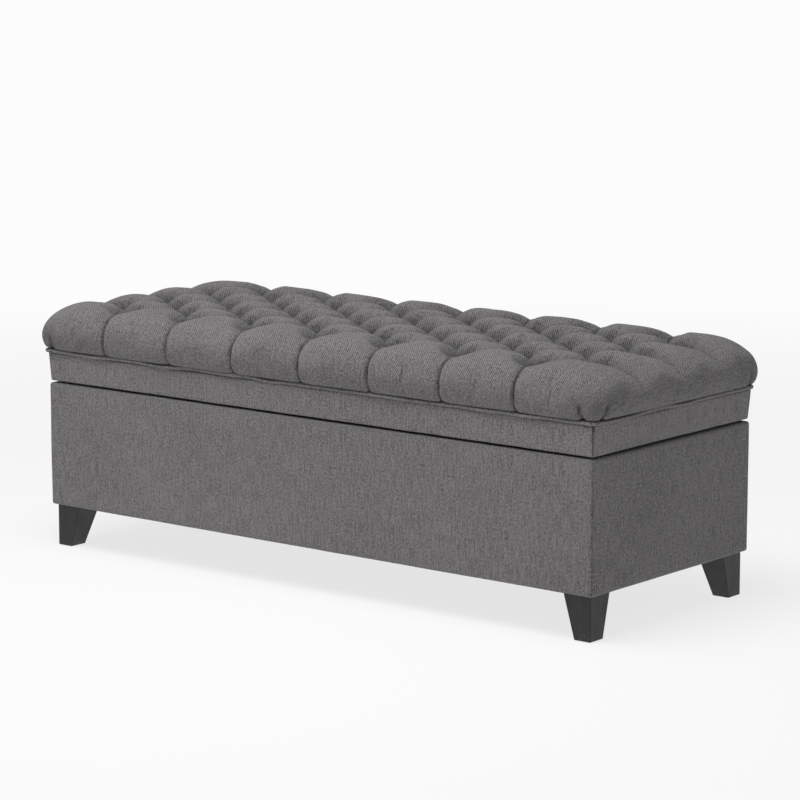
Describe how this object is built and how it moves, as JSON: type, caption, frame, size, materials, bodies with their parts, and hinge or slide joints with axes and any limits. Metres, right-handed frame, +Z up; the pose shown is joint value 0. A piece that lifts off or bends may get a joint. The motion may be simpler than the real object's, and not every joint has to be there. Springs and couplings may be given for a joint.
{
  "type": "storage bench",
  "caption": "Long upholstered storage bench with a hinged, diamond-tufted lid over a fabric-covered box on tapered wooden legs.",
  "frame": {"origin": "on the floor under the middle of the bench", "axes": "+X along the bench's length, +Y from the front towards the hinged rear, +Z up"},
  "size_m": [1.3, 0.518, 0.47],
  "materials": {
    "upholstery_fabric": "matt, fine twill with slubs",
    "lining_cloth": "matt, non-woven",
    "plywood": "sanded, unfinished",
    "pine": "planed, unfinished",
    "dark_wood": "near-black stain, satin",
    "zinc_steel": "zinc-plated, satin",
    "glide_plastic": "matt"
  },
  "bodies": {
    "box": {"cover_front": "upholstery_fabric", "cover_left": "upholstery_fabric", "cover_rear": "upholstery_fabric", "cover_right": "upholstery_fabric", "dust_cover": "lining_cloth", "floor_board": "plywood", "front_cleat": "pine", "front_panel": "plywood", "glide_front_left": "glide_plastic", "glide_front_right": "glide_plastic", "glide_rear_left": "glide_plastic", "glide_rear_right": "glide_plastic", "hinge_box_leaf_left": "zinc_steel", "hinge_box_leaf_middle": "zinc_steel", "hinge_box_leaf_right": "zinc_steel", "hinge_pin_left": "zinc_steel", "hinge_pin_middle": "zinc_steel", "hinge_pin_right": "zinc_steel", "left_panel": "plywood", "leg_block_front_left": "pine", "leg_block_front_right": "pine", "leg_block_rear_left": "pine", "leg_block_rear_right": "pine", "leg_bolt_front_left": "zinc_steel", "leg_bolt_front_right": "zinc_steel", "leg_bolt_rear_left": "zinc_steel", "leg_bolt_rear_right": "zinc_steel", "leg_front_left": "dark_wood", "leg_front_right": "dark_wood", "leg_rear_left": "dark_wood", "leg_rear_right": "dark_wood", "liner": "lining_cloth", "rear_cleat": "pine", "rear_panel": "plywood", "right_panel": "plywood", "stay_box_bracket_left": "zinc_steel", "stay_box_bracket_right": "zinc_steel"},
    "lid": {"band_front": "upholstery_fabric", "band_left": "upholstery_fabric", "band_rear": "upholstery_fabric", "band_right": "upholstery_fabric", "hinge_lid_leaf_left": "zinc_steel", "hinge_lid_leaf_middle": "zinc_steel", "hinge_lid_leaf_right": "zinc_steel", "lid_board": "plywood", "lid_liner": "lining_cloth", "lid_rail_front": "pine", "lid_rail_left": "pine", "lid_rail_rear": "pine", "lid_rail_right": "pine", "stay_lid_bracket_left": "zinc_steel", "stay_lid_bracket_right": "zinc_steel", "tufted_cushion": "upholstery_fabric", "welt": "upholstery_fabric"},
    "long_arm_left": {"stay_elbow_rivet_left": "zinc_steel", "stay_long_arm_left": "zinc_steel"},
    "short_arm_left": {"stay_short_arm_left": "zinc_steel"},
    "long_arm_right": {"stay_elbow_rivet_right": "zinc_steel", "stay_long_arm_right": "zinc_steel"},
    "short_arm_right": {"stay_short_arm_right": "zinc_steel"}
  },
  "joints": [
    {"name": "lid_hinge", "type": "hinge", "parent": "box", "child": "lid", "pos_m": [0, 0.242, 0.316], "axis": [-1, 0, 0], "range_deg": [0, 88]},
    {"name": "stay_foot_left", "type": "hinge", "parent": "box", "child": "long_arm_left", "pos_m": [-0.603, 0.197, 0.231], "axis": [-1, 0, 0], "range_deg": [0, 88]},
    {"name": "stay_elbow_left", "type": "hinge", "parent": "long_arm_left", "child": "short_arm_left", "pos_m": [-0.6015, 0.007, 0.216], "axis": [-1, 0, 0], "range_deg": [-88, 0]},
    {"name": "stay_foot_right", "type": "hinge", "parent": "box", "child": "long_arm_right", "pos_m": [0.603, 0.197, 0.231], "axis": [-1, 0, 0], "range_deg": [0, 88]},
    {"name": "stay_elbow_right", "type": "hinge", "parent": "long_arm_right", "child": "short_arm_right", "pos_m": [0.6015, 0.007, 0.216], "axis": [-1, 0, 0], "range_deg": [-88, 0]}
  ],
  "couplings": [
    {"joint": "stay_foot_left", "follows": "lid_hinge", "ratio": 1},
    {"joint": "stay_elbow_left", "follows": "lid_hinge", "ratio": -1},
    {"joint": "stay_foot_right", "follows": "lid_hinge", "ratio": 1},
    {"joint": "stay_elbow_right", "follows": "lid_hinge", "ratio": -1}
  ]
}
